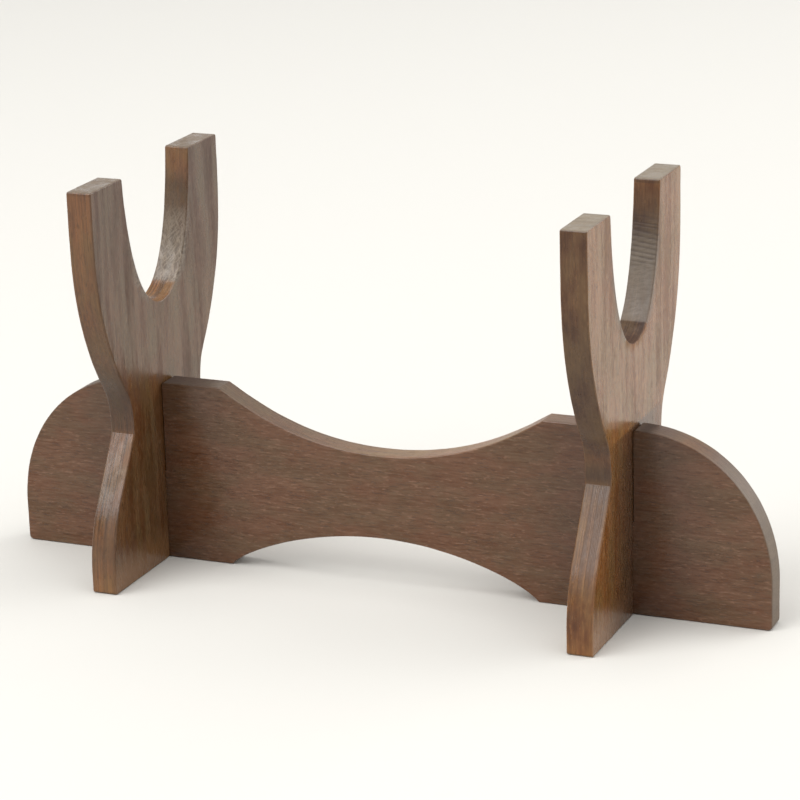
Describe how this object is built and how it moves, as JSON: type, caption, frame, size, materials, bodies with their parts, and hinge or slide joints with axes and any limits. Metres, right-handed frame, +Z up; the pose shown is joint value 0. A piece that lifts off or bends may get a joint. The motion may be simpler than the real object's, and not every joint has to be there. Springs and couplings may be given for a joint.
{
  "type": "plate display stand",
  "caption": "Knock-down wooden stand: an arched cross panel on edge and Y-shaped uprights halved onto it, with U-shaped notches that hold a plate on its rim.",
  "frame": {"origin": "middle of the stand's footprint, on the surface it stands on", "axes": "+Z up, +X along the cross panel, +Y from the front of the stand to its back"},
  "size_m": [0.305, 0.1032, 0.156],
  "materials": {
    "panel_wood": "dark walnut stain under a satin clear coat, grain along the panel's length",
    "upright_wood": "dark walnut stain under a satin clear coat, grain running up the board"
  },
  "bodies": {
    "cross_panel": {"cross_panel": "panel_wood"},
    "left_upright": {"left_upright": "upright_wood"},
    "right_upright": {"right_upright": "upright_wood"}
  },
  "joints": [
    {"name": "left_upright_lift", "type": "slide", "parent": "cross_panel", "child": "left_upright", "axis": [0, 0, 1], "range_m": [0, 0.075]},
    {"name": "right_upright_lift", "type": "slide", "parent": "cross_panel", "child": "right_upright", "axis": [0, 0, 1], "range_m": [0, 0.075]}
  ]
}
